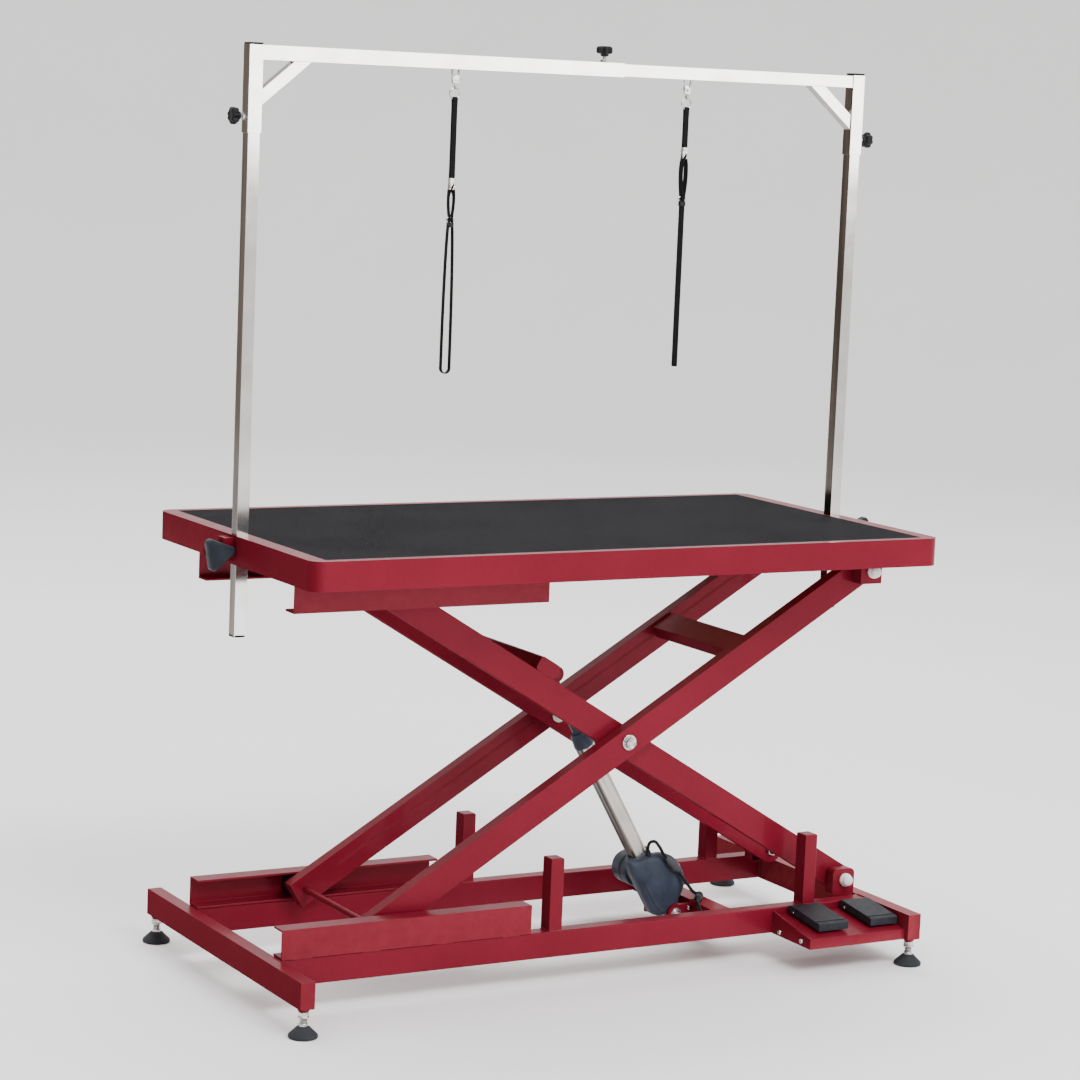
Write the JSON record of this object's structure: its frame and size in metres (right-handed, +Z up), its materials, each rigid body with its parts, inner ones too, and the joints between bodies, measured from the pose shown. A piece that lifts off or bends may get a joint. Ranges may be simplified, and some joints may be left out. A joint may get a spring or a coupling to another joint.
{
  "type": "grooming table",
  "caption": "Electric scissor-lift grooming table with a non-slip mat, foot pedals, levelling feet and an adjustable overhead frame with leashes.",
  "frame": {"origin": "on the floor, at the middle of the object's bounding box, under the middle of the tabletop", "axes": "+Z up; +X towards the pedal end; -Y towards the side with the pedals, where the person works"},
  "size_m": [1.3606, 0.68, 1.645],
  "materials": {
    "red_paint": "gloss metallic burgundy powder coat",
    "stainless": "polished stainless steel",
    "zinc": "bright zinc plate",
    "actuator_tube": "satin anodised",
    "navy_plastic": "fine moulded texture",
    "black_plastic": "satin moulded",
    "black_rubber": "matte, fine pebble texture",
    "white_nylon": "satin",
    "webbing": "woven nylon",
    "plywood": "raw"
  },
  "bodies": {
    "base": {"base_cross_tube_left": "red_paint", "base_cross_tube_right": "red_paint", "base_rail_front": "red_paint", "base_rail_rear": "red_paint", "base_channel_front": "red_paint", "base_channel_rear": "red_paint", "actuator_mount": "red_paint", "actuator_base_pin": "zinc", "pedal_platform": "red_paint", "base_pivot_pin_front": "white_nylon", "base_pivot_pin_rear": "white_nylon", "cable_lower": "black_plastic", "cable_plug": "black_plastic"},
    "inner_arms": {"inner_arm_front": "red_paint", "inner_arm_rear": "red_paint", "lift_beam": "red_paint"},
    "outer_arms": {"outer_arm_front": "red_paint", "outer_arm_rear": "red_paint", "outer_cross_beam": "red_paint", "lower_axle": "red_paint", "centre_bolt_front": "zinc", "centre_bolt_rear": "zinc"},
    "tabletop": {"table_rim": "red_paint", "table_board": "plywood", "table_mat": "black_rubber", "top_channel_front": "red_paint", "top_channel_rear": "red_paint", "deck_bearer_left": "red_paint", "deck_bearer_middle": "red_paint", "deck_bearer_right": "red_paint", "table_pivot_pin_front": "white_nylon", "table_pivot_pin_rear": "white_nylon"},
    "foot_front_left": {"foot_front_left": "black_rubber"},
    "foot_rear_left": {"foot_rear_left": "black_rubber"},
    "foot_front_right": {"foot_front_right": "black_rubber"},
    "foot_rear_right": {"foot_rear_right": "black_rubber"},
    "pedal_left": {"pedal_left": "black_plastic"},
    "pedal_right": {"pedal_right": "black_plastic"},
    "base_roller_front": {"base_roller_front": "black_plastic"},
    "base_roller_rear": {"base_roller_rear": "black_plastic"},
    "top_roller_front": {"top_roller_front": "black_plastic"},
    "top_roller_rear": {"top_roller_rear": "black_plastic"},
    "motor": {"motor_housing": "navy_plastic", "actuator_tube": "actuator_tube", "cable_upper": "black_plastic", "cable_connector": "black_plastic"},
    "actuator_rod": {"actuator_rod": "zinc"},
    "clamp_knob_left": {"clamp_knob_left": "black_plastic"},
    "clamp_knob_right": {"clamp_knob_right": "black_plastic"},
    "post_left": {"post_left": "stainless"},
    "post_right": {"post_right": "stainless"},
    "hanger": {"hanger_left": "stainless", "hanger_right": "stainless"},
    "star_knob_left": {"star_knob_left": "black_plastic"},
    "star_knob_right": {"star_knob_right": "black_plastic"},
    "star_knob_top": {"star_knob_top": "black_plastic"},
    "leash_hook_left": {"leash_hook_left": "zinc"},
    "leash_strap_left": {"leash_strap_left": "webbing"},
    "leash_hook_right": {"leash_hook_right": "zinc"},
    "leash_strap_right": {"leash_strap_right": "webbing"}
  },
  "joints": [
    {"name": "lift", "type": "hinge", "parent": "base", "child": "inner_arms", "pos_m": [0.58, 0, 0.123], "axis": [0, 1, 0], "range_deg": [-27, 9.5]},
    {"name": "scissor", "type": "hinge", "parent": "inner_arms", "child": "outer_arms", "pos_m": [0.08884, 0, 0.418], "axis": [0, 1, 0], "range_deg": [-19.5, 54.5]},
    {"name": "table_level", "type": "hinge", "parent": "outer_arms", "child": "tabletop", "pos_m": [0.58, 0, 0.713], "axis": [0, 1, 0], "range_deg": [-27.5, 10]},
    {"name": "motor_swing", "type": "hinge", "parent": "base", "child": "motor", "pos_m": [0.276, 0, 0.06], "axis": [0, 1, 0], "range_deg": [-35.6, 12.85]},
    {"name": "rod_stroke", "type": "slide", "parent": "motor", "child": "actuator_rod", "axis": [-0.5028, 0, 0.8644], "range_m": [-0.1228, 0.0445]},
    {"name": "base_roller_front_spin", "type": "hinge", "parent": "outer_arms", "child": "base_roller_front", "pos_m": [-0.40231, 0, 0.123], "axis": [0, 1, 0], "continuous": true},
    {"name": "top_roller_front_spin", "type": "hinge", "parent": "inner_arms", "child": "top_roller_front", "pos_m": [-0.40231, 0, 0.713], "axis": [0, 1, 0], "continuous": true},
    {"name": "base_roller_rear_spin", "type": "hinge", "parent": "outer_arms", "child": "base_roller_rear", "pos_m": [-0.40231, 0, 0.123], "axis": [0, 1, 0], "continuous": true},
    {"name": "top_roller_rear_spin", "type": "hinge", "parent": "inner_arms", "child": "top_roller_rear", "pos_m": [-0.40231, 0, 0.713], "axis": [0, 1, 0], "continuous": true},
    {"name": "clamp_knob_left_turn", "type": "hinge", "parent": "tabletop", "child": "clamp_knob_left", "pos_m": [-0.6575, 0, 0.764], "axis": [0, 1, 0], "continuous": true},
    {"name": "clamp_knob_right_turn", "type": "hinge", "parent": "tabletop", "child": "clamp_knob_right", "pos_m": [0.6575, 0, 0.764], "axis": [0, 1, 0], "continuous": true},
    {"name": "post_height", "type": "slide", "parent": "tabletop", "child": "post_left", "axis": [0, 0, 1], "range_m": [0, 0.1]},
    {"name": "post_right_height", "type": "slide", "parent": "tabletop", "child": "post_right", "axis": [0, 0, 1], "range_m": [0, 0.1]},
    {"name": "hanger_height", "type": "slide", "parent": "post_left", "child": "hanger", "axis": [0, 0, 1], "range_m": [0, 0.085]},
    {"name": "star_knob_left_turn", "type": "hinge", "parent": "hanger", "child": "star_knob_left", "pos_m": [-0.64, 0, 1.498], "axis": [1, 0, 0], "continuous": true},
    {"name": "star_knob_right_turn", "type": "hinge", "parent": "hanger", "child": "star_knob_right", "pos_m": [0.64, 0, 1.498], "axis": [1, 0, 0], "continuous": true},
    {"name": "star_knob_top_turn", "type": "hinge", "parent": "hanger", "child": "star_knob_top", "pos_m": [0.0675, 0, 1.638], "axis": [0, 0, 1], "continuous": true},
    {"name": "leash_hook_left_swing", "type": "hinge", "parent": "hanger", "child": "leash_hook_left", "pos_m": [-0.229, 0, 1.599], "axis": [0, 1, 0], "range_deg": [-18, 18]},
    {"name": "leash_strap_left_swing", "type": "hinge", "parent": "leash_hook_left", "child": "leash_strap_left", "pos_m": [-0.229, 0, 1.541], "axis": [1, 0, 0], "range_deg": [-60, 60]},
    {"name": "leash_hook_right_swing", "type": "hinge", "parent": "hanger", "child": "leash_hook_right", "pos_m": [0.243, 0, 1.599], "axis": [0, 1, 0], "range_deg": [-18, 18]},
    {"name": "leash_strap_right_swing", "type": "hinge", "parent": "leash_hook_right", "child": "leash_strap_right", "pos_m": [0.243, 0, 1.541], "axis": [1, 0, 0], "range_deg": [-60, 60]},
    {"name": "pedal_left_press", "type": "hinge", "parent": "base", "child": "pedal_left", "pos_m": [0.4525, -0.217, 0.09], "axis": [1, 0, 0], "range_deg": [0, 2], "stiffness_Nm_per_rad": 60, "springref_deg": -1.15},
    {"name": "pedal_right_press", "type": "hinge", "parent": "base", "child": "pedal_right", "pos_m": [0.564, -0.217, 0.09], "axis": [1, 0, 0], "range_deg": [0, 2], "stiffness_Nm_per_rad": 60, "springref_deg": -1.15},
    {"name": "foot_front_left_level", "type": "slide", "parent": "base", "child": "foot_front_left", "axis": [0, 0, -1], "range_m": [0, 0.012]},
    {"name": "foot_rear_left_level", "type": "slide", "parent": "base", "child": "foot_rear_left", "axis": [0, 0, -1], "range_m": [0, 0.012]},
    {"name": "foot_front_right_level", "type": "slide", "parent": "base", "child": "foot_front_right", "axis": [0, 0, -1], "range_m": [0, 0.012]},
    {"name": "foot_rear_right_level", "type": "slide", "parent": "base", "child": "foot_rear_right", "axis": [0, 0, -1], "range_m": [0, 0.012]}
  ],
  "couplings": [
    {"joint": "scissor", "follows": "lift", "ratio": -2},
    {"joint": "table_level", "follows": "lift", "ratio": 1},
    {"joint": "motor_swing", "follows": "lift", "ratio": 1.3},
    {"joint": "rod_stroke", "follows": "lift", "m_per_rad": 0.2564},
    {"joint": "post_right_height", "follows": "post_height", "ratio": 1}
  ]
}
